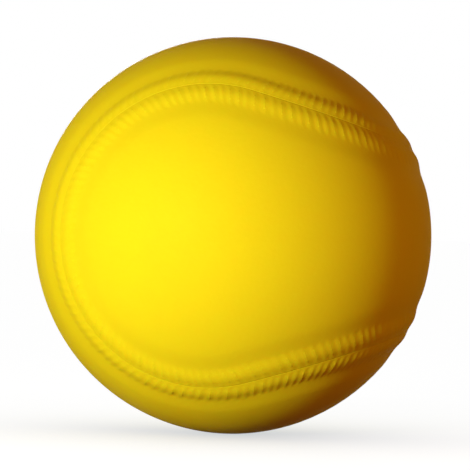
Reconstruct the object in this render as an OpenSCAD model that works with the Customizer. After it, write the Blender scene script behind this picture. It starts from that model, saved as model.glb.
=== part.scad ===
// Sponge baseball: a soft sponge core in a cover of two identical figure-eight
// panels, sewn together edge to edge with two rows of double stitches.
// Millimetres. The origin is the ball's centre, +Z is up, and the neck of the
// front panel faces +X.

/* [Ball] */
// Diameter over the smooth part of the cover
ball_d = 73; // [60:0.5:100]
// Thickness of the synthetic leather cover
cover_t = 1.6; // [1.4:0.05:2.4]
// Room for the glue film between the cover and the sponge core
glue_film = 0.15; // [0.1:0.01:0.3]

/* [Seam] */
// How far each lobe's centre leans back from the ball's middle plane, in degrees
lobe_lean = 16.4; // [14:0.2:18]
// Width of the open groove between the two panels
groove_w = 1.1; // [0.9:0.05:1.4]
// From the middle of the groove to the crest of a stitched ridge
ridge_reach = 1.85; // [1.7:0.05:2]
// Height of a ridge above the pressed channel that it stands in
ridge_h = 0.2; // [0.1:0.05:0.4]
// Depth of the pressed channel below the smooth cover
channel_depth = 0.5; // [0.4:0.05:0.8]
// From the middle of the groove to the edge of the channel
channel_reach = 5; // [4.8:0.1:5.4]

/* [Stitching] */
// Double stitches on each of the seam's four arcs, in each row
stitches_per_arc = 21; // [16:1:22]
// Thickness of the thread
thread_d = 0.76; // [0.6:0.02:0.8]
// Distance between the two strands of a double stitch
strand_gap = 1.75; // [1.7:0.05:1.9]
// Slant of the strands from square across the seam, in degrees
strand_slant = 17; // [10:1:20]
// How far one row runs ahead of the other along the seam
row_stagger = 0.88; // [0.86:0.01:0.9]

/* [Hidden] */

cover_colour = "gold";
thread_colour = "goldenrod";
core_colour = "khaki";

ball_r = ball_d / 2;
inner_r = ball_r - cover_t;

// The seam is four equal arcs of circles drawn on the ball, each turning the
// opposite way to the next, and tangent where they meet. lobe_half is the
// angular radius of those circles, seen from the ball's centre, and arc_half is
// half the turn of each arc about the middle of its own circle.
lobe_half = acos(-pow(sin(lobe_lean), 2)) / 2;
arc_half = acos(-sin(lobe_lean) / (sqrt(2) * sin(lobe_half)));
spine_half = 90 + lobe_lean;

// How finely a panel is divided: steps along one arc, and steps from the
// channel's edge to the middle line of the panel on its outer and inner faces
arc_steps = 28;
outer_steps = 8;
inner_steps = 6;
around = 4 * arc_steps;
ball_fn = 120;
thread_fn = 24;

// Angle at the ball's centre of a length along the cover
function turn(length) = length / ball_r * 180 / PI;
// Angle about a lobe's middle of a length along its seam
function seam_turn(length) = turn(length) / sin(lobe_half);

// Lobes 0 and 2 are the front panel's, lobes 1 and 3 the rear panel's. A lobe has
// an axis through its middle, and a tip direction from there to its far end.
function lobe_side(lobe) = lobe % 2 == 0 ? 1 : -1;
function lobe_angle(lobe) = 180 + 90 * lobe;
function lobe_axis(lobe) = [-lobe_side(lobe) * sin(lobe_lean),
                            cos(lobe_lean) * cos(lobe_angle(lobe)),
                            cos(lobe_lean) * sin(lobe_angle(lobe))];
function lobe_tip(lobe) = [-lobe_side(lobe) * cos(lobe_lean),
                           -sin(lobe_lean) * cos(lobe_angle(lobe)),
                           -sin(lobe_lean) * sin(lobe_angle(lobe))];
function lobe_wide(lobe) = cross(lobe_axis(lobe), lobe_tip(lobe));

// Direction from the ball's centre, at an angle from a lobe's axis and a turn about it
function on_lobe(lobe, angle, about) =
    sin(angle) * (cos(about) * lobe_tip(lobe) + sin(about) * lobe_wide(lobe))
    + cos(angle) * lobe_axis(lobe);

// The front panel's edge, followed once round the ball in equal steps. A reach is
// measured from the middle of the groove into the panel.
function step_lobe(step) = floor(step / arc_steps);
function step_share(step) = (step % arc_steps) / arc_steps;
function edge_direction(step, reach) =
    let (lobe = step_lobe(step), side = lobe_side(lobe))
    on_lobe(lobe, lobe_half - side * turn(reach), side * (2 * step_share(step) - 1) * arc_half);

// The panel's middle line runs from the middle of one lobe, along the neck, to the
// middle of the other. Each step along the edge has its own place on it.
function spine_place(step) = [0, step % arc_steps, arc_steps, arc_steps - step % arc_steps][step_lobe(step)];
function spine_direction(place) =
    let (angle = spine_half * (2 * place / arc_steps - 1))
    [cos(angle), sin(angle), 0];

// Direction part of the way from the channel's edge to the middle line
function inward(step, share) =
    let (from = edge_direction(step, channel_reach), to = spine_direction(spine_place(step)),
         angle = acos(from * to))
    (sin((1 - share) * angle) * from + sin(share * angle) * to) / sin(angle);

// Height of the outer face against the smooth ball: the channel sinks in from its
// edge, and the rounded ridge stands in it under the stitches
function ease(share) = (1 - cos(180 * min(1, max(0, share)))) / 2;
channel_wall = 1.1;
ridge_half = 2.2;
function channel_sink(reach) = channel_depth * ease((channel_reach - reach) / channel_wall);
function ridge_rise(reach) = ridge_h * (1 - ease(abs(reach - ridge_reach) / ridge_half));
function outer_height(reach) = ridge_rise(reach) - channel_sink(reach);

// One closed cross-section of the panel at a step, from the outer face's middle
// line to the groove, down the edge, and back along the inner face
edge_reach = groove_w / 2;
channel_steps = 3;
ridge_step = 0.75;
OUTER_REACHES = concat(
    [for (i = [0:channel_steps]) channel_reach - channel_wall * i / channel_steps],
    [for (i = [2:-1:-1]) ridge_reach + ridge_step * i],
    [edge_reach]);
function cross_section(step) = concat(
    [for (i = [outer_steps - 1:-1:1]) ball_r * inward(step, i / outer_steps)],
    [for (reach = OUTER_REACHES) (ball_r + outer_height(reach)) * edge_direction(step, reach)],
    [inner_r * edge_direction(step, edge_reach), inner_r * edge_direction(step, channel_reach)],
    [for (i = [1:inner_steps - 1]) inner_r * inward(step, i / inner_steps)]);

module cover_panel() {
    sections = [for (step = [0:around - 1]) cross_section(step)];
    size = len(sections[0]);
    spine = [for (place = [0:arc_steps]) spine_direction(place)];
    outer_spine = around * size;
    inner_spine = outer_spine + len(spine);
    points = concat([for (section = sections) each section], ball_r * spine, inner_r * spine);
    faces = [for (step = [0:around - 1])
                let (next = (step + 1) % around, here = spine_place(step), there = spine_place(next),
                     still = here == there,
                     outer = [next * size, step * size],
                     inner = [(step + 1) * size - 1, (next + 1) * size - 1])
                each concat(
                    [for (i = [0:size - 2])
                        [step * size + i, next * size + i, next * size + i + 1, step * size + i + 1]],
                    [concat(outer, [outer_spine + here], still ? [] : [outer_spine + there])],
                    [concat(inner, [inner_spine + there], still ? [] : [inner_spine + here])])];
    polyhedron(points = points, faces = faces);
}

// A strand is one arc of thread in a slanted plane through the ball's centre. It
// passes over the ridge and drops into the groove at one end. At the other end it
// turns further, and goes down into the cover at the outer foot of the ridge.
thread_r = thread_d / 2;
strand_crest = ball_r + outer_height(ridge_reach) + thread_r;
strand_drop = 0.9;
foot_turn = 10;
strand_half = ridge_reach / cos(strand_slant);
strand_r = (pow(strand_half, 2) + pow(strand_drop, 2)) / (2 * strand_drop);
groove_end = asin(strand_half / strand_r);
cover_end = groove_end + foot_turn;

// way is +1 or -1, for the direction in which the strands lean along the row
module stitch_row(way) {
    for (lobe = [0:3], i = [0:stitches_per_arc - 1], strand = [-1, 1]) {
        side = lobe_side(lobe);
        middle = (2 * i + 1 - stitches_per_arc) / stitches_per_arc * arc_half;
        along = seam_turn(side * row_stagger / 2 + strand * strand_gap / 2);
        tip = lobe_tip(lobe);
        wide = lobe_wide(lobe);
        axis = lobe_axis(lobe);
        multmatrix([for (k = [0:2]) [tip[k], wide[k], axis[k], 0]])
            rotate([0, lobe_half - side * turn(ridge_reach), middle + along])
                rotate([0, 0, way * strand_slant + 90 - 90 * side])
                    translate([0, 0, strand_crest - strand_r])
                        rotate([90, groove_end - 90, 0])
                            rotate_extrude(angle = groove_end + cover_end, $fn = 4 * thread_fn)
                                translate([strand_r, 0])
                                    circle(r = thread_r, $fn = thread_fn);
    }
}

// The rear panel and its stitches are the front ones turned half round, about the
// line midway between the Y and Z axes, and their strands lean the other way.
module turned_to_rear() {
    rotate(a = 180, v = [0, 1, 1])
        children();
}

module sponge_core() {
    color(core_colour)
        sphere(r = inner_r - glue_film, $fn = ball_fn);
}

module cover_panel_front() {
    color(cover_colour)
        cover_panel();
}

module cover_panel_rear() {
    color(cover_colour)
        turned_to_rear()
            cover_panel();
}

module stitch_row_front() {
    color(thread_colour)
        stitch_row(1);
}

module stitch_row_rear() {
    color(thread_colour)
        turned_to_rear()
            stitch_row(-1);
}

sponge_core();
cover_panel_front();
cover_panel_rear();
stitch_row_front();
stitch_row_rear();
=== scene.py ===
# Sponge baseball: the looks of a soft ball with a sponge core, a sewn cover of two
# figure-eight panels and two rows of double stitches. Metres, in the frame of the solids.
import math
import random
import types

import bmesh
import bpy
from mathutils import Matrix, Vector, noise


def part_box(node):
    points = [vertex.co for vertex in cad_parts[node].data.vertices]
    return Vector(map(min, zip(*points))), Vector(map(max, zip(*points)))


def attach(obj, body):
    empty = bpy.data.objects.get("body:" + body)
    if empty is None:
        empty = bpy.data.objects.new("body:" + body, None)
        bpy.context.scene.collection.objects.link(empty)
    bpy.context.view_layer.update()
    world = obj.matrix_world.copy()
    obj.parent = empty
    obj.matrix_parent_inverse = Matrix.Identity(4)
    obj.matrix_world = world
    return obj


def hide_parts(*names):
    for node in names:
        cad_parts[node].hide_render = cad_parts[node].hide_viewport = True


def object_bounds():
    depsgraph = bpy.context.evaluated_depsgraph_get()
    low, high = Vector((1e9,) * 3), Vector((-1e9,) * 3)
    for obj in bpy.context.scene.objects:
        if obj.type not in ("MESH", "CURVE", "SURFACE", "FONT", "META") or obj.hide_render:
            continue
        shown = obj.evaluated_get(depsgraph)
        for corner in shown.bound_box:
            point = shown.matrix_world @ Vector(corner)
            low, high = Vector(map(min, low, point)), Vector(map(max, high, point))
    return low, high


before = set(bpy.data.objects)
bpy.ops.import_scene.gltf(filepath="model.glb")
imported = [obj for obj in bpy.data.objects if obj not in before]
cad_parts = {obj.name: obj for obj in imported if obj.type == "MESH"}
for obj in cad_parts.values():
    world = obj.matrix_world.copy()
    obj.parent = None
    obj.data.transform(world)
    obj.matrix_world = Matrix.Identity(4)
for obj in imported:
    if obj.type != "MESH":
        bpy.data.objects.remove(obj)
CAD_BOX = [list(corner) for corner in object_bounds()]

bl_info = {
    "name": "Sponge baseball",
    "version": (1, 0, 0),
    "blender": (4, 5, 0),
    "location": "3D View > Sidebar > Baseball",
    "description": "A sponge baseball with its core, sewn cover, stitches and stage",
    "category": "Add Mesh",
}

MM = 0.001
BALL_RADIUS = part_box("cover_panel_front")[1][0]


def linear(hex_colour):
    """An sRGB hex colour as linear red, green, blue and alpha."""
    channels = []
    for start in (1, 3, 5):
        value = int(hex_colour[start:start + 2], 16) / 255
        channels.append(value / 12.92 if value <= 0.04045 else ((value + 0.055) / 1.055) ** 2.4)
    return (*channels, 1.0)


# Sizes and colours

def length(name, description, default):
    """A length property in metres."""
    return bpy.props.FloatProperty(name=name, description=description, default=default,
                                   min=0.0, precision=5, subtype="DISTANCE", unit="LENGTH")


def turn(name, description, degrees):
    """An angle property."""
    return bpy.props.FloatProperty(name=name, description=description, default=math.radians(degrees),
                                   subtype="ANGLE", unit="ROTATION")


def colour(name, description, hex_colour):
    """A colour property, kept as linear values."""
    return bpy.props.FloatVectorProperty(name=name, description=description, default=linear(hex_colour),
                                         size=4, min=0.0, max=1.0, subtype="COLOR")


class CoverSettings(bpy.types.PropertyGroup):
    """The two cover panels and the raised strip along their seam."""
    ball_radius: length("Ball radius", "Radius of the smooth part of the cover", BALL_RADIUS)
    thickness: length("Thickness", "Thickness of the synthetic leather", 1.6 * MM)
    glue_film: length("Glue film", "Room between the cover and the sponge", 0.15 * MM)
    lobe_lean: turn("Lobe lean", "How far each lobe's middle leans back", 16.4)
    seam_gap: length("Seam gap", "From the seam to the edge of a panel", 0.04 * MM)
    groove_half: length("Groove half width", "From the seam to the edge of the groove", 1.7 * MM)
    groove_depth: length("Groove depth", "How deep the panels roll in at the seam", 0.1 * MM)
    ridge_reach: length("Ridge reach", "From the seam to the middle of a row of stitches", 1.85 * MM)
    ridge_rise: length("Ridge rise", "Height of the stitched ridges over the smooth ball", 0.16 * MM)
    shoulder_reach: length("Shoulder reach", "From the seam to where a ridge starts to fall", 1.8 * MM)
    foot_reach: length("Foot reach", "From the seam to the outer foot of a ridge", 4.6 * MM)
    foot_sink: length("Foot sink", "How far a ridge's outer foot lies under the smooth ball", 0.17 * MM)
    flat_reach: length("Flat reach", "From the seam to where the ball is smooth", 8.4 * MM)
    row_reach: length("Row reach", "From the seam to where the lumps of a row start to fade", 4.0 * MM)
    lump: length("Lump", "How far the cover swells under a strand and between stitches", 0.085 * MM)
    colour_lit: colour("Cover colour", "Main colour of the cover", "#F5EE1A")
    # Painted shade: the creases get this deeper colour, which also shows at random as mottle
    colour_shade_and_mottle: colour("Crease shade colour", "Shade painted into the cover's creases, also mixed in at random as mottle", "#D99E08")


class StitchSettings(bpy.types.PropertyGroup):
    """The double stitches that sew the panels together."""
    per_arc: bpy.props.IntProperty(name="Stitches per arc", default=21, min=4, max=40,
                                   description="Double stitches on each quarter of the seam")
    width: length("Strand width", "Width of a strand, pressed flat", 1.2 * MM)
    height: length("Strand height", "Height of a strand", 0.7 * MM)
    proud: length("Strand proud", "How far a strand's top stands over the cover", 0.025 * MM)
    groove_end: length("Groove end", "From the seam to a strand's end at the groove", 0.3 * MM)
    foot_end: length("Foot end", "From the seam to a strand's outer end", 4.2 * MM)
    dip: length("Dip", "Length over which a strand's end goes down into the cover", 0.6 * MM)
    gap: length("Strand gap", "Distance between the two strands of a stitch", 1.75 * MM)
    slant: turn("Slant", "Slant of the strands from square across the seam", 17)
    stagger: length("Row stagger", "How far one row runs ahead of the other", 0.88 * MM)
    colour_top: colour("Thread colour", "Main colour of the thread", "#F5EE1A")
    # Painted shade: the grooves between the plies get this deeper colour
    colour_ply_shade: colour("Ply shade colour", "Shade painted into the grooves between the plies", "#DFAE0A")


class SpongeSettings(bpy.types.PropertyGroup):
    """The sponge core under the cover."""
    cell: length("Cell size", "Distance between the open cells", 1.8 * MM)
    cell_depth: length("Cell depth", "Depth of an open cell", 0.35 * MM)
    colour_wall: colour("Wall colour", "Colour of the cell walls", "#E8D8A0")
    # Painted shade: the inside of each open cell gets this darker colour
    colour_cell_shade: colour("Cell shade colour", "Shade painted inside the open cells", "#A8925A")


class StageSettings(bpy.types.PropertyGroup):
    """Floor and camera."""
    floor_colour: colour("Floor colour", "Colour of the floor as it lights the ball", "#843914")
    view_distance: bpy.props.FloatProperty(name="View distance", default=16.0, min=2.0,
                                           description="Camera distance in ball radii")
    view_turn: turn("View turn", "How far the camera stands to the left of the front lobe's middle", 6.2)
    view_tilt: turn("View tilt", "How far the camera stands above the ball's middle", 0.33)
    view_roll: turn("View roll", "Turn of the camera about its own line of sight", 1.4)


def plain(settings):
    """A property group's values as plain ones, which are quicker to read."""
    return types.SimpleNamespace(**{name: getattr(settings, name) for name in settings.__annotations__})


# The course of the seam: four equal arcs of circles on the ball, each about the middle of a lobe.
# Lobes 0 and 2 are the front panel's own, and lobes 1 and 3 the rear panel's.

LOBES = range(4)


def lobe_side(lobe):
    """+1 on the front panel's own two lobes, -1 on the rear panel's."""
    return 1 if lobe % 2 == 0 else -1


def lobe_basis(cover, lobe):
    """The lobe's tip, side and axis directions, as the columns of a matrix."""
    lean = cover.lobe_lean
    side = lobe_side(lobe)
    place = math.pi + lobe * math.pi / 2
    axis = Vector((-side * math.sin(lean),
                   math.cos(lean) * math.cos(place), math.cos(lean) * math.sin(place)))
    tip = Vector((-side * math.cos(lean),
                  -math.sin(lean) * math.cos(place), -math.sin(lean) * math.sin(place)))
    return Matrix((tip, axis.cross(tip), axis)).transposed()


def seam_angles(cover):
    """Angular radius of a lobe's seam circle, and half the turn of its arc."""
    lean = cover.lobe_lean
    lobe_half = math.acos(-math.sin(lean) ** 2) / 2
    arc_half = math.acos(-math.sin(lean) / (math.sqrt(2) * math.sin(lobe_half)))
    return lobe_half, arc_half


def on_lobe(basis, angle, about):
    """Direction at an angle from the lobe's axis and a turn about it."""
    out = math.sin(angle)
    return basis @ Vector((out * math.cos(about), out * math.sin(about), math.cos(angle)))


def turned_to_rear():
    """The half turn that takes the front panel and row to the rear ones."""
    return Matrix.Rotation(math.pi, 4, Vector((0, 1, 1)).normalized())


# The relief along the seam. A reach is the distance from the seam into a panel, and way is +1 or -1
# for the direction in which a row's strands lean.

# Half the width of a lump, the mean share of a full lump along a row, and the length over which the
# lumps fade at both sides of the row
LUMP_WIDTH = 0.55 * MM
LUMP_MEAN = 0.6
ROW_FADE = 0.8 * MM

# By how much the lumps differ, and the distance over which they do
UNEVEN_SHARE = 0.5
UNEVEN_SPAN = 3 * MM


def ease(share):
    """A soft step from 0 to 1."""
    share = min(1.0, max(0.0, share))
    return (1 - math.cos(math.pi * share)) / 2


def stitch_pitch(cover, stitches):
    """Distance along the seam from one double stitch to the next."""
    lobe_half, arc_half = seam_angles(cover)
    return 2 * arc_half * cover.ball_radius * math.sin(lobe_half) / stitches.per_arc


def stitch_offset(cover, stitches, lobe, reach, about, way):
    """Distance along the seam from the middle of the nearest stitch, at a reach."""
    _, arc_half = seam_angles(cover)
    pitch = stitch_pitch(cover, stitches)
    side = lobe_side(lobe)
    along = ((about / arc_half + 1) * stitches.per_arc - 1) / 2 * pitch
    lean = side * math.tan(way * stitches.slant) * (reach - cover.ridge_reach)
    away = along - side * stitches.stagger / 2 + lean
    return (away + pitch / 2) % pitch - pitch / 2


def lumps(cover, stitches, lobe, reach, about, way):
    """Share of a full lump, 1 on a strand and midway between two double stitches."""
    away = abs(stitch_offset(cover, stitches, lobe, reach, about, way))
    middles = (-stitches.gap / 2, stitches.gap / 2, stitch_pitch(cover, stitches) / 2)
    return sum(math.exp(-((away - middle) / LUMP_WIDTH) ** 2) for middle in middles)


def uneven(cover, direction):
    """How strong a lump is at a place on the ball, about 1: no two lumps are quite the same."""
    return 1 + UNEVEN_SHARE * noise.noise(direction * (cover.ball_radius / UNEVEN_SPAN))


def in_row(cover, reach):
    """1 in a row of stitches, falling to 0 at the groove and at the row's outer side."""
    return ease(reach / ROW_FADE) * (1 - ease((reach - cover.row_reach) / ROW_FADE))


def in_groove(cover, reach):
    """1 at the seam, falling to 0 at the edge of the groove."""
    return 1 - ease((reach - cover.seam_gap) / (cover.groove_half - cover.seam_gap))


def cover_height(cover, reach):
    """Height of the outer face over the smooth ball, without its lumps."""
    fall = ease((reach - cover.shoulder_reach) / (cover.foot_reach - cover.shoulder_reach))
    back = ease((reach - cover.foot_reach) / (cover.flat_reach - cover.foot_reach))
    ridge = cover.ridge_rise - (cover.ridge_rise + cover.foot_sink) * fall + cover.foot_sink * back
    return ridge - cover.groove_depth * in_groove(cover, reach)


# Cover panels

# Reaches of the lines along a panel's edge, in millimetres, close together on the ridge
EDGE_LINES = (0.15, 0.25, 0.36, 0.48, 0.61, 0.75, 0.9, 1.1, 1.3, 1.55, 1.8, 2.05, 2.3, 2.55, 2.8, 3.05, 3.3,
              3.5, 3.7, 3.9, 4.1, 4.3, 4.5, 4.75, 5.0, 5.3, 5.7, 6.2, 6.8, 7.6, 8.4)

# Lines from there to the panel's middle on its outer and inner faces, cuts along each stitch, and
# the distance within which points are merged
MIDDLE_LINES = 10
INNER_LINES = 6
STITCH_CUTS = 15
WELD = 0.002 * MM

# How narrow the dark line of shade painted along the seam is, and how much shade is painted into the dents
# between the lumps beside it
SEAM_SHADE_SHARPNESS = 8
DENT_SHADE = 0.4


def panel_lines(cover):
    """The lines of a panel from its outer middle, round its edge, to its inner middle.

    Each is a reach, a share of the way from there to the middle, and 0 outside or 1 inside.
    """
    flat = cover.flat_reach
    lines = [(flat, 1 - i / MIDDLE_LINES, 0.0) for i in range(MIDDLE_LINES)]
    lines += [(reach * MM, 0.0, 0.0) for reach in reversed(EDGE_LINES)]
    lines += [(cover.seam_gap, 0.0, 0.0), (cover.seam_gap, 0.0, 1.0), (flat / 2, 0.0, 1.0), (flat, 0.0, 1.0)]
    lines += [(flat, (i + 1) / INNER_LINES, 1.0) for i in range(INNER_LINES)]
    return lines


def panel_middle(cover, basis, lobe, about, arc_half):
    """The point of the panel's middle line that a place on its edge looks to."""
    if lobe_side(lobe) > 0:
        return basis.col[2].copy()
    # Beside the rear panel's lobes the edge runs along the neck, one way on lobe 1 and back on lobe 3
    way_along = 1 if lobe == 3 else -1
    spine = way_along * (math.pi / 2 + cover.lobe_lean) * about / arc_half
    return Vector((math.cos(spine), math.sin(spine), 0.0))


def build_cover_panel(cover, stitches, way):
    """One figure-eight panel: its cross-section spun along the seam's four arcs, then pressed to shape."""
    lobe_half, arc_half = seam_angles(cover)
    radius = cover.ball_radius
    lines = panel_lines(cover)
    bases = [lobe_basis(cover, lobe) for lobe in LOBES]
    bm = bmesh.new()
    lobe_of = bm.verts.layers.float.new("lobe")
    line_of = bm.verts.layers.float.new("line")
    painted_crease_shade_of = bm.verts.layers.float.new("painted_crease_shade")

    # Spin a rough cross-section along each arc, with one step to a stitch and a number on each line
    for lobe, basis in enumerate(bases):
        section = []
        for number, (reach, share, depth) in enumerate(lines):
            angle = lobe_half - lobe_side(lobe) * (reach + share * MM) / radius
            vert = bm.verts.new((radius - depth * cover.thickness) * on_lobe(basis, angle, -arc_half))
            vert[lobe_of] = lobe
            vert[line_of] = number
            section.append(vert)
        edges = [bm.edges.new(pair) for pair in zip(section, section[1:])]
        bmesh.ops.spin(bm, geom=section + edges, cent=(0, 0, 0), axis=basis.col[2], dvec=(0, 0, 0),
                       angle=2 * arc_half, steps=stitches.per_arc, use_merge=False, use_duplicate=False)
    along = [edge for edge in bm.edges if round(edge.verts[0][line_of]) == round(edge.verts[1][line_of])]
    bmesh.ops.subdivide_edges(bm, edges=along, cuts=STITCH_CUTS)

    # Press every point to its place, from its line and its turn about its lobe
    for vert in bm.verts:
        lobe = round(vert[lobe_of])
        basis = bases[lobe]
        reach, share, depth = lines[round(vert[line_of])]
        local = basis.transposed() @ vert.co
        about = math.atan2(local.y, local.x)
        direction = on_lobe(basis, lobe_half - lobe_side(lobe) * reach / radius, about)
        if share > 0:
            direction = direction.slerp(panel_middle(cover, basis, lobe, about, arc_half), share)
        height = -cover.thickness
        if depth == 0:
            row = in_row(cover, reach)
            lump = lumps(cover, stitches, lobe, reach, about, way)
            swell = cover.lump * (lump - LUMP_MEAN) * uneven(cover, direction)
            height = cover_height(cover, reach) + row * swell
            # Shade painted into the cover's colour: a dark line along the seam's groove, and darker dents
            # between the lumps
            line = in_groove(cover, reach) ** SEAM_SHADE_SHARPNESS
            vert[painted_crease_shade_of] = min(1.0, line + DENT_SHADE * row * max(0.0, 1 - lump))
        vert.co = (radius + height) * direction

    bmesh.ops.remove_doubles(bm, verts=bm.verts, dist=WELD)
    bmesh.ops.recalc_face_normals(bm, faces=bm.faces)
    bm.verts.layers.float.remove(lobe_of)
    bm.verts.layers.float.remove(line_of)
    return bm


# Stitches

# Sides of a strand and cuts along it
STRAND_SIDES = 8
STRAND_CUTS = 9

# How far a strand may turn and stand up or down by chance
STRAND_WOBBLE = math.radians(1.0)
STRAND_LIFT = 0.008 * MM


def strand_height(cover, stitches, reach):
    """Height of a strand's middle line over the smooth ball. Its ends go down into the cover."""
    top = cover_height(cover, reach) + cover.lump * (1 - LUMP_MEAN) * in_row(cover, reach) + stitches.proud
    inside = min(reach - stitches.groove_end, stitches.foot_end - reach)
    sunk = 1 - ease(inside / stitches.dip)
    return top - stitches.height / 2 - stitches.height * sunk


def wrap_strand(bm, stitches):
    """Give a straight rod along X a map: millimetres along it, and its turn about its middle line."""
    wrap = bm.loops.layers.uv.new("wrap")
    for face in bm.faces:
        turns = []
        for loop in face.loops:
            point = loop.vert.co
            around = math.atan2(point.y / stitches.width, point.z / stitches.height) / (2 * math.pi)
            # The corners of a face stay together where the turn starts over
            if turns and around - turns[0] > 0.5:
                around -= 1
            if turns and turns[0] - around > 0.5:
                around += 1
            turns.append(around)
            loop[wrap].uv = (point.x / MM, around)


def build_strand(cover, stitches):
    """One strand of thread: a flattened rod laid over the ridge, along X, with its groove end at +X."""
    radius = cover.ball_radius
    spread = math.cos(stitches.slant)
    ends = [(cover.ridge_reach - reach) / spread for reach in (stitches.groove_end, stitches.foot_end)]
    rod_length = ends[0] - ends[1]
    bm = bmesh.new()
    # A straight rod of width 1, turned along X and scaled to the strand's width and height
    bmesh.ops.create_cone(bm, cap_ends=True, segments=STRAND_SIDES, radius1=0.5, radius2=0.5,
                          depth=rod_length)
    bmesh.ops.rotate(bm, cent=(0, 0, 0), matrix=Matrix.Rotation(math.pi / 2, 3, "Y"), verts=bm.verts)
    bmesh.ops.scale(bm, vec=(1.0, stitches.width, stitches.height), verts=bm.verts)
    bmesh.ops.translate(bm, vec=(sum(ends) / 2, 0, 0), verts=bm.verts)
    sides = [edge for edge in bm.edges if abs(edge.verts[0].co.x - edge.verts[1].co.x) > rod_length / 2]
    bmesh.ops.subdivide_edges(bm, edges=sides, cuts=STRAND_CUTS)
    bmesh.ops.recalc_face_normals(bm, faces=bm.faces)
    wrap_strand(bm, stitches)
    for vert in bm.verts:
        x, y, z = vert.co
        height = radius + z + strand_height(cover, stitches, cover.ridge_reach - x * spread)
        vert.co = (height * math.sin(x / radius), y, height * math.cos(x / radius))
    return bm


def build_stitch_row(cover, stitches, way, seed):
    """One row of double stitches: the strand set at every place along the panel's edge."""
    lobe_half, arc_half = seam_angles(cover)
    radius = cover.ball_radius
    strand_bm = build_strand(cover, stitches)
    strand = bpy.data.meshes.new("strand")
    strand_bm.to_mesh(strand)
    strand_bm.free()
    hand = random.Random(seed)
    places = [(lobe, i, half) for lobe in LOBES for i in range(stitches.per_arc) for half in (-0.5, 0.5)]
    bm = bmesh.new()
    for lobe, i, half in places:
        side = lobe_side(lobe)
        middle = (2 * i + 1 - stitches.per_arc) / stitches.per_arc * arc_half
        along = (side * stitches.stagger / 2 + half * stitches.gap) / (radius * math.sin(lobe_half))
        spin = way * stitches.slant + hand.uniform(-STRAND_WOBBLE, STRAND_WOBBLE)
        if side < 0:
            spin += math.pi
        lift = Matrix.Translation((0, 0, hand.uniform(-STRAND_LIFT, STRAND_LIFT)))
        matrix = (lobe_basis(cover, lobe).to_4x4() @ Matrix.Rotation(middle + along, 4, "Z")
                  @ Matrix.Rotation(lobe_half - side * cover.ridge_reach / radius, 4, "Y")
                  @ Matrix.Rotation(spin, 4, "Z") @ lift)
        first = len(bm.verts)
        bm.from_mesh(strand)
        bm.verts.ensure_lookup_table()
        bmesh.ops.transform(bm, matrix=matrix, verts=bm.verts[first:])
        for vert in bm.verts[first:]:
            direction = vert.co.normalized()
            vert.co += direction * cover.lump * (1 - LUMP_MEAN) * (uneven(cover, direction) - 1)
    bpy.data.meshes.remove(strand)
    return bm


# Sponge core

# How often the ball's first triangles are divided, and the radius of a cell's mouth in cell sizes
SPONGE_DIVISIONS = 6
CELL_MOUTH = 0.45


def build_sponge(cover, sponge):
    """The sponge core: a ball whose skin is pitted with open cells."""
    radius = cover.ball_radius - cover.thickness - cover.glue_film
    bm = bmesh.new()
    bmesh.ops.create_icosphere(bm, subdivisions=SPONGE_DIVISIONS, radius=radius)
    for vert in bm.verts:
        near, _ = noise.voronoi(vert.co / sponge.cell)
        pit = ease(1 - near[0] / CELL_MOUTH)
        vert.co -= vert.co.normalized() * sponge.cell_depth * pit
    return bm


def finish_piece(bm, name, material, node):
    """Turn a finished bmesh into a piece that rides with the ball and stands for a solid."""
    for face in bm.faces:
        face.smooth = True
    mesh = bpy.data.meshes.new(name)
    bm.to_mesh(mesh)
    bm.free()
    mesh.materials.append(material)
    piece = bpy.data.objects.new(name, mesh)
    bpy.context.scene.collection.objects.link(piece)
    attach(piece, "root")
    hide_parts(node)
    return piece


# Materials

# The Mix node has sockets for several kinds of value. These are the factor, the two colours and the
# mixed colour.
MIX_FACTOR = 0
MIX_FIRST = 6
MIX_SECOND = 7
MIX_RESULT = 2


def add_node(tree, kind, inputs=None, **settings):
    """Add a node with its settings; each input takes a value or another node's output."""
    node = tree.nodes.new(kind)
    for name, value in settings.items():
        setattr(node, name, value)
    for key, value in (inputs or {}).items():
        if isinstance(value, bpy.types.NodeSocket):
            tree.links.new(value, node.inputs[key])
        else:
            node.inputs[key].default_value = value
    return node


def new_material(name):
    """An empty node material, its tree and its output node."""
    material = bpy.data.materials.new(name)
    material.use_nodes = True
    material.node_tree.nodes.clear()
    output = add_node(material.node_tree, "ShaderNodeOutputMaterial")
    return material, material.node_tree, output


# Polyurethane synthetic leather: a cloth backing with a thin coloured skin that is rolled against
# grained paper. It gives the eye a soft satin face with a shallow grain. Shade is painted into its
# creases as a deeper, warmer yellow. It shows no highlight, so its mirror reflection is very low. The
# grain and the pores are drawn coarser than real ones, so that they show.
LEATHER_GRAIN = 0.8 * MM
LEATHER_PORE = 0.3 * MM
LEATHER_MOTTLE = 14 * MM
LEATHER_RELIEF = 0.03 * MM
LEATHER_ROUGHNESS = (0.5, 0.62)
PORE_SHARE = 0.5
MOTTLE_TINT = 0.1
CREASE_SHADE = 0.75


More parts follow.
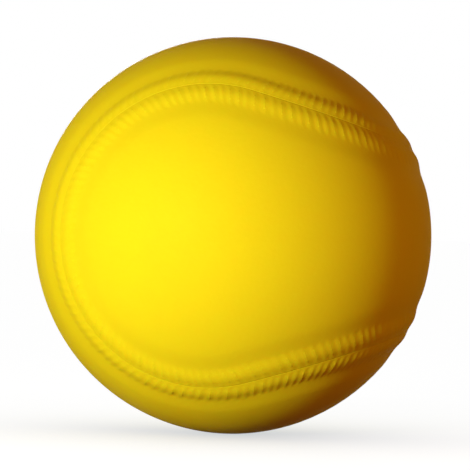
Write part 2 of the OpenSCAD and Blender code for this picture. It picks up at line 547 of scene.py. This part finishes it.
def synthetic_leather(cover):
    """Material of the cover panels."""
    material, tree, output = new_material("polyurethane synthetic leather")
    place = add_node(tree, "ShaderNodeTexCoord").outputs["Object"]
    mottle = add_node(tree, "ShaderNodeTexNoise",
                      {"Vector": place, "Scale": 1 / LEATHER_MOTTLE, "Detail": 3.0})
    grain = add_node(tree, "ShaderNodeTexVoronoi",
                     {"Vector": place, "Scale": 1 / LEATHER_GRAIN, "Smoothness": 0.6}, feature="SMOOTH_F1")
    pore = add_node(tree, "ShaderNodeTexNoise", {"Vector": place, "Scale": 1 / LEATHER_PORE, "Detail": 2.0})
    # Shade is painted into the creases that the panel marks, on top of a random mottle
    painted_crease_shade = add_node(tree, "ShaderNodeAttribute", attribute_name="painted_crease_shade")
    worn = add_node(tree, "ShaderNodeMath", {0: mottle.outputs[0], 1: MOTTLE_TINT}, operation="MULTIPLY")
    shade_and_mottle = add_node(tree, "ShaderNodeMath", {0: painted_crease_shade.outputs["Fac"], 1: CREASE_SHADE, 2: worn.outputs[0]},
                    operation="MULTIPLY_ADD", use_clamp=True)
    paint = add_node(tree, "ShaderNodeMix",
                     {MIX_FACTOR: shade_and_mottle.outputs[0], MIX_FIRST: cover.colour_lit,
                      MIX_SECOND: cover.colour_shade_and_mottle}, data_type="RGBA")
    smoothest, roughest = LEATHER_ROUGHNESS
    satin = add_node(tree, "ShaderNodeMapRange",
                     {"Value": mottle.outputs[0], "To Min": smoothest, "To Max": roughest})
    relief = add_node(tree, "ShaderNodeMath",
                      {0: pore.outputs[0], 1: PORE_SHARE, 2: grain.outputs["Distance"]},
                      operation="MULTIPLY_ADD")
    bump = add_node(tree, "ShaderNodeBump",
                    {"Height": relief.outputs[0], "Strength": 0.35, "Distance": LEATHER_RELIEF})
    skin = add_node(tree, "ShaderNodeBsdfPrincipled",
                    {"Base Color": paint.outputs[MIX_RESULT], "Roughness": satin.outputs[0],
                     "Normal": bump.outputs[0], "IOR": 1.46, "Specular IOR Level": 0.01,
                     "Subsurface Weight": 0.25, "Subsurface Radius": (1.0, 0.4, 0.1),
                     "Subsurface Scale": 0.5 * MM})
    tree.links.new(skin.outputs[0], output.inputs["Surface"])
    return material


# Waxed polyester thread: two plies twisted together, dyed with the cover and flattened by the pull.
# It gives the eye a dull face and a faint slanting rib along each strand, with shade painted as a
# deeper yellow into the grooves between the plies. The ply's pitch is in millimetres, as the strand's
# map is. The fibres are too fine to show, so their fuzz is drawn coarser.
PLY_PITCH = 0.9
THREAD_FUZZ = 0.25 * MM
THREAD_RELIEF = 0.03 * MM
FUZZ_SHARE = 0.3
PLY_SHADE = 0.12


def waxed_thread(stitches):
    """Material of the stitches."""
    material, tree, output = new_material("waxed polyester thread")
    wrap = add_node(tree, "ShaderNodeUVMap", uv_map="wrap").outputs["UV"]
    parts = add_node(tree, "ShaderNodeSeparateXYZ", {0: wrap})
    phase = add_node(tree, "ShaderNodeMath", {0: parts.outputs["X"], 1: 1 / PLY_PITCH, 2: parts.outputs["Y"]},
                     operation="MULTIPLY_ADD")
    angle = add_node(tree, "ShaderNodeMath", {0: phase.outputs[0], 1: 2 * math.pi}, operation="MULTIPLY")
    wave = add_node(tree, "ShaderNodeMath", {0: angle.outputs[0]}, operation="SINE")
    ply = add_node(tree, "ShaderNodeMapRange", {"Value": wave.outputs[0], "From Min": -1.0, "From Max": 1.0})
    place = add_node(tree, "ShaderNodeTexCoord").outputs["Object"]
    fuzz = add_node(tree, "ShaderNodeTexNoise", {"Vector": place, "Scale": 1 / THREAD_FUZZ, "Detail": 2.0})
    # Painted shade: the colour deepens where the ply's bump is low, between the plies
    tone = add_node(tree, "ShaderNodeMapRange", {"Value": ply.outputs[0], "To Min": PLY_SHADE, "To Max": 0.0})
    paint = add_node(tree, "ShaderNodeMix",
                     {MIX_FACTOR: tone.outputs[0], MIX_FIRST: stitches.colour_top,
                      MIX_SECOND: stitches.colour_ply_shade}, data_type="RGBA")
    relief = add_node(tree, "ShaderNodeMath", {0: fuzz.outputs[0], 1: FUZZ_SHARE, 2: ply.outputs[0]},
                      operation="MULTIPLY_ADD")
    bump = add_node(tree, "ShaderNodeBump",
                    {"Height": relief.outputs[0], "Strength": 0.3, "Distance": THREAD_RELIEF})
    yarn = add_node(tree, "ShaderNodeBsdfPrincipled",
                    {"Base Color": paint.outputs[MIX_RESULT], "Roughness": 0.55, "Normal": bump.outputs[0],
                     "IOR": 1.5, "Specular IOR Level": 0.01, "Subsurface Weight": 0.25,
                     "Subsurface Radius": (1.0, 0.4, 0.1), "Subsurface Scale": 0.3 * MM})
    tree.links.new(yarn.outputs[0], output.inputs["Surface"])
    return material


# Sponge rubber: rubber blown into open cells and moulded to a ball. It gives the eye a dull, porous
# skin, and shade is painted into its cells as a darker colour.
CELL_RELIEF = 0.2 * MM


def sponge_rubber(sponge):
    """Material of the core."""
    material, tree, output = new_material("open cell sponge rubber")
    place = add_node(tree, "ShaderNodeTexCoord").outputs["Object"]
    cells = add_node(tree, "ShaderNodeTexVoronoi", {"Vector": place, "Scale": 1 / sponge.cell})
    # Painted shade: the colour darkens towards the middle of each cell, where the bump sinks
    depth = add_node(tree, "ShaderNodeMapRange",
                     {"Value": cells.outputs["Distance"], "From Min": 0.1, "From Max": 0.5})
    paint = add_node(tree, "ShaderNodeMix",
                     {MIX_FACTOR: depth.outputs[0], MIX_FIRST: sponge.colour_cell_shade,
                      MIX_SECOND: sponge.colour_wall}, data_type="RGBA")
    bump = add_node(tree, "ShaderNodeBump",
                    {"Height": depth.outputs[0], "Strength": 0.6, "Distance": CELL_RELIEF})
    foam = add_node(tree, "ShaderNodeBsdfPrincipled",
                    {"Base Color": paint.outputs[MIX_RESULT], "Roughness": 0.9, "Normal": bump.outputs[0],
                     "IOR": 1.5})
    tree.links.new(foam.outputs[0], output.inputs["Surface"])
    return material


def seen_directly(tree):
    """1 for what is seen, also in a mirror or through glass, and 0 for light that falls on the ball."""
    path = add_node(tree, "ShaderNodeLightPath").outputs
    shiny = add_node(tree, "ShaderNodeMath", {0: path["Is Glossy Ray"], 1: path["Is Transmission Ray"]},
                     operation="MAXIMUM")
    seen = add_node(tree, "ShaderNodeMath", {0: shiny.outputs[0], 1: path["Is Camera Ray"]},
                    operation="MAXIMUM")
    return seen.outputs[0]


# Matt painted board: it looks white and keeps the ball's shadow, faintly as a real one on its matt
# part and more as a painted one. What the camera sees of it glows in a cool white that makes up for
# the warm light, and ambient occlusion dims that glow where the ball shelters it: a painted shadow.
# The depth of that painted shadow is a share of the glow, and its reach is in ball radii.
FLOOR_SEEN = "#898989"
FLOOR_GLOW = "#F7FBFC"
PAINTED_SHADOW_DEPTH = 0.35
PAINTED_SHADOW_REACH = 3.0


def painted_board(stage):
    """Material of the floor."""
    material, tree, output = new_material("matt painted board")
    seen = seen_directly(tree)
    paint = add_node(tree, "ShaderNodeMix",
                     {MIX_FACTOR: seen, MIX_FIRST: stage.floor_colour, MIX_SECOND: linear(FLOOR_SEEN)},
                     data_type="RGBA")
    matt = add_node(tree, "ShaderNodeBsdfDiffuse", {"Color": paint.outputs[MIX_RESULT]})
    # Painted shadow: ambient occlusion from the ball dims the glow around where it stands
    painted_shadow = add_node(tree, "ShaderNodeAmbientOcclusion", {"Distance": PAINTED_SHADOW_REACH * BALL_RADIUS})
    painted_shadow_level = add_node(tree, "ShaderNodeMapRange",
                        {"Value": painted_shadow.outputs["AO"], "To Min": 1 - PAINTED_SHADOW_DEPTH, "To Max": 1.0})
    level = add_node(tree, "ShaderNodeMath", {0: painted_shadow_level.outputs[0], 1: seen}, operation="MULTIPLY")
    glow = add_node(tree, "ShaderNodeEmission", {"Color": linear(FLOOR_GLOW), "Strength": level.outputs[0]})
    both = add_node(tree, "ShaderNodeAddShader", {0: matt.outputs[0], 1: glow.outputs[0]})
    tree.links.new(both.outputs[0], output.inputs["Surface"])
    return material


# Stage

# How far the floor reaches from the ball and how far the camera sees, in metres
FLOOR_REACH = 6.0
VIEW_END = 100.0

# Soft round lamps that stand near the ball, so that their light falls off towards its edges: the
# direction from the ball, the distance and width in ball radii, the power in watts and the colour.
# The key lamp stands to the camera's left, and the weak warm fill to its right.
NEAR_LAMPS = {
    "key": ((-0.59, -0.807, 0.02), 7.5, 1.4, 0.65, "#FFF5F0"),
    "fill": ((0.717, -0.697, 0.06), 4.0, 1.0, 0.021, "#FFB470"),
}

# A distant lamp behind the ball, which only lights the side that the camera doesn't see: the
# direction that it shines from, its strength and its width in degrees
BACK_DIRECTION = (0.05, 0.99, 0.08)
BACK_STRENGTH = 2.2
BACK_WIDTH = 8

# Weak warm light from all round the ball, and the white that is seen behind it
AMBIENT_COLOUR = "#FF8C48"
AMBIENT_LEVEL = 0.19
BACKDROP_COLOUR = "#FFFFFF"

# The ball's outline in the photograph's frame, in pixels, and the camera's sensor in millimetres
FRAME_SIZE = 470
OUTLINE_RADIUS = 198.4
OUTLINE_CENTRE = (233.07, 235.45)
SENSOR = 36.0


def make_floor(scene, stage):
    """The floor that the ball stands on."""
    bm = bmesh.new()
    bmesh.ops.create_grid(bm, x_segments=1, y_segments=1, size=FLOOR_REACH)
    bmesh.ops.translate(bm, vec=(0, 0, CAD_BOX[0][2]), verts=bm.verts)
    mesh = bpy.data.meshes.new("floor")
    bm.to_mesh(mesh)
    bm.free()
    mesh.materials.append(painted_board(stage))
    floor = bpy.data.objects.new("floor", mesh)
    scene.collection.objects.link(floor)


def make_world(scene):
    """The light from all round, and the white background."""
    world = bpy.data.worlds.new("studio")
    world.use_nodes = True
    tree = world.node_tree
    tree.nodes.clear()
    seen = seen_directly(tree)
    tone = add_node(tree, "ShaderNodeMix",
                    {MIX_FACTOR: seen, MIX_FIRST: linear(AMBIENT_COLOUR),
                     MIX_SECOND: linear(BACKDROP_COLOUR)}, data_type="RGBA")
    level = add_node(tree, "ShaderNodeMapRange", {"Value": seen, "To Min": AMBIENT_LEVEL, "To Max": 1.0})
    sky = add_node(tree, "ShaderNodeBackground",
                   {"Color": tone.outputs[MIX_RESULT], "Strength": level.outputs[0]})
    output = add_node(tree, "ShaderNodeOutputWorld")
    tree.links.new(sky.outputs[0], output.inputs["Surface"])
    scene.world = world


def add_lamp(scene, name, kind, direction, distance, energy):
    """A lamp that shines at the ball from a direction. The camera doesn't see the lamp itself."""
    lamp = bpy.data.lights.new(name, kind)
    lamp.energy = energy
    holder = bpy.data.objects.new(name, lamp)
    holder.location = Vector(direction).normalized() * distance
    holder.rotation_euler = Vector(direction).to_track_quat("Z", "Y").to_euler()
    holder.visible_camera = False
    scene.collection.objects.link(holder)
    return lamp


def make_lamps(scene, radius):
    """The key, fill and back lamps."""
    for name, (direction, distance, width, power, hex_colour) in NEAR_LAMPS.items():
        lamp = add_lamp(scene, name, "AREA", direction, distance * radius, power)
        lamp.shape = "DISK"
        lamp.size = width * radius
        lamp.color = linear(hex_colour)[:3]
    back = add_lamp(scene, "back", "SUN", BACK_DIRECTION, radius, BACK_STRENGTH)
    back.angle = math.radians(BACK_WIDTH)


def make_camera(scene, stage, radius):
    """The camera, which puts the ball's outline where it is in the photograph."""
    lens = bpy.data.cameras.new("camera")
    ball_spread = math.tan(math.asin(1 / stage.view_distance))
    frame_spread = ball_spread * FRAME_SIZE / 2 / OUTLINE_RADIUS
    lens.sensor_width = SENSOR
    lens.lens = SENSOR / 2 / frame_spread
    lens.shift_x = (FRAME_SIZE / 2 - OUTLINE_CENTRE[0]) / FRAME_SIZE
    lens.shift_y = (OUTLINE_CENTRE[1] - FRAME_SIZE / 2) / FRAME_SIZE
    lens.clip_end = VIEW_END
    camera = bpy.data.objects.new("camera", lens)
    distance = stage.view_distance * radius
    look = Matrix.Translation((0, -distance, 0)) @ Matrix.Rotation(math.pi / 2, 4, "X")
    seen_turn = (Matrix.Rotation(stage.view_roll, 4, "Y") @ Matrix.Rotation(stage.view_tilt, 4, "X")
                 @ Matrix.Rotation(stage.view_turn, 4, "Z"))
    camera.matrix_world = seen_turn.inverted() @ look
    scene.collection.objects.link(camera)
    scene.camera = camera


# Operators, one for each piece or pair of pieces and one for the stage

class BASEBALL_OT_sponge_core(bpy.types.Operator):
    """Make the sponge core"""
    bl_idname = "baseball.sponge_core"
    bl_label = "Sponge core"

    def execute(self, context):
        scene = context.scene
        sponge = plain(scene.baseball_sponge)
        bm = build_sponge(plain(scene.baseball_cover), sponge)
        piece = finish_piece(bm, "core", sponge_rubber(sponge), "sponge_core")
        return {"FINISHED"}


class BASEBALL_OT_cover_panels(bpy.types.Operator):
    """Make the two figure-eight cover panels"""
    bl_idname = "baseball.cover_panels"
    bl_label = "Cover panels"

    def execute(self, context):
        scene = context.scene
        cover = plain(scene.baseball_cover)
        stitches = plain(scene.baseball_stitches)
        leather = synthetic_leather(cover)
        front = build_cover_panel(cover, stitches, way=1)
        finish_piece(front, "cover_front", leather, "cover_panel_front")
        rear = build_cover_panel(cover, stitches, way=-1)
        bmesh.ops.transform(rear, matrix=turned_to_rear(), verts=rear.verts)
        finish_piece(rear, "cover_rear", leather, "cover_panel_rear")
        return {"FINISHED"}


class BASEBALL_OT_stitches(bpy.types.Operator):
    """Make the two rows of double stitches"""
    bl_idname = "baseball.stitches"
    bl_label = "Stitches"

    def execute(self, context):
        scene = context.scene
        cover = plain(scene.baseball_cover)
        stitches = plain(scene.baseball_stitches)
        thread = waxed_thread(stitches)
        front = build_stitch_row(cover, stitches, way=1, seed=3)
        finish_piece(front, "stitches_front", thread, "stitch_row_front")
        rear = build_stitch_row(cover, stitches, way=-1, seed=8)
        bmesh.ops.transform(rear, matrix=turned_to_rear(), verts=rear.verts)
        finish_piece(rear, "stitches_rear", thread, "stitch_row_rear")
        return {"FINISHED"}


class BASEBALL_OT_stage(bpy.types.Operator):
    """Make the floor, the light and the camera"""
    bl_idname = "baseball.stage"
    bl_label = "Stage"

    def execute(self, context):
        scene = context.scene
        stage = scene.baseball_stage
        radius = scene.baseball_cover.ball_radius
        scene.view_settings.view_transform = "Standard"
        make_floor(scene, stage)
        make_world(scene)
        make_lamps(scene, radius)
        make_camera(scene, stage, radius)
        return {"FINISHED"}


class BASEBALL_PT_parts(bpy.types.Panel):
    """The pieces of the ball and the sizes and colours they are made from"""
    bl_idname = "BASEBALL_PT_parts"
    bl_label = "Sponge baseball"
    bl_space_type = "VIEW_3D"
    bl_region_type = "UI"
    bl_category = "Baseball"

    def draw(self, context):
        layout = self.layout
        for operator in OPERATORS:
            layout.operator(operator.bl_idname)
        for name, group in SETTINGS.items():
            box = layout.box()
            for prop in group.__annotations__:
                box.prop(getattr(context.scene, name), prop)


OPERATORS = (BASEBALL_OT_sponge_core, BASEBALL_OT_cover_panels, BASEBALL_OT_stitches, BASEBALL_OT_stage)
SETTINGS = {
    "baseball_cover": CoverSettings,
    "baseball_stitches": StitchSettings,
    "baseball_sponge": SpongeSettings,
    "baseball_stage": StageSettings,
}
CLASSES = (*SETTINGS.values(), *OPERATORS, BASEBALL_PT_parts)


def register():
    for item in CLASSES:
        bpy.utils.register_class(item)
    for name, group in SETTINGS.items():
        setattr(bpy.types.Scene, name, bpy.props.PointerProperty(type=group))


def unregister():
    for name in SETTINGS:
        delattr(bpy.types.Scene, name)
    for item in reversed(CLASSES):
        bpy.utils.unregister_class(item)


def main():
    """Make the ball and its stage."""
    register()
    bpy.ops.baseball.sponge_core()
    bpy.ops.baseball.cover_panels()
    bpy.ops.baseball.stitches()
    bpy.ops.baseball.stage()


if __name__ == "__main__":
    main()
